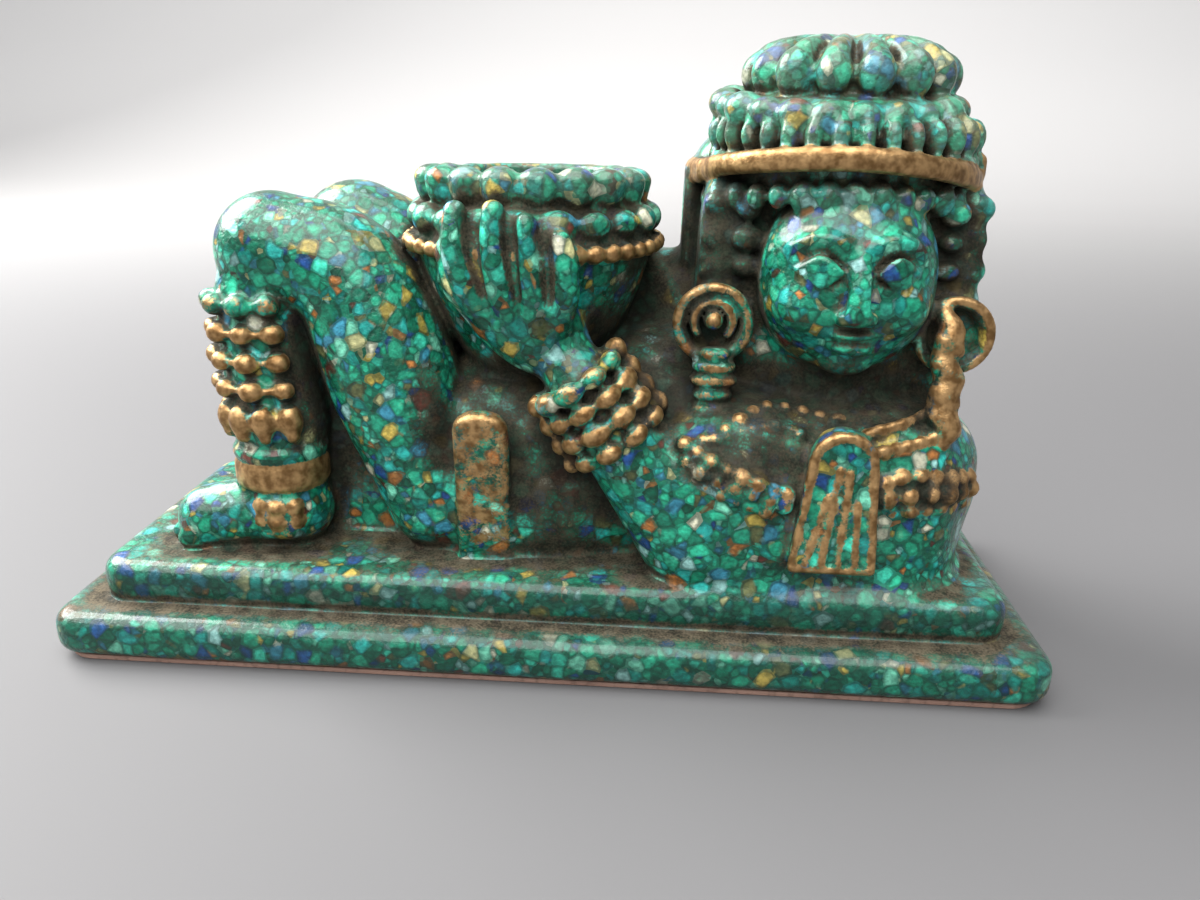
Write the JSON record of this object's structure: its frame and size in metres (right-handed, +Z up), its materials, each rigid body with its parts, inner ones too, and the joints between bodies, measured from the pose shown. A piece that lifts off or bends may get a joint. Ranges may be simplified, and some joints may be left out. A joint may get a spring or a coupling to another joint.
{
  "type": "chac mool figurine",
  "caption": "Souvenir casting of a reclining chac mool on a stepped plinth: bent knees, head turned to the side, open vessel held on the belly, tall lobed headdress.",
  "frame": {"origin": "on the surface it stands on, under the middle of the plinth", "axes": "+X along the plinth towards the head, -X towards the feet, -Y the side the face looks to, +Z up"},
  "size_m": [0.12, 0.048, 0.073],
  "materials": {
    "chac_mool": "glossy crushed green and blue stone chips in clear resin, with patchy bronze-gold paint",
    "base_pad": "matt pinkish-brown leatherette"
  },
  "bodies": {
    "root": {"chac_mool": "chac_mool", "base_pad": "base_pad"}
  },
  "joints": []
}
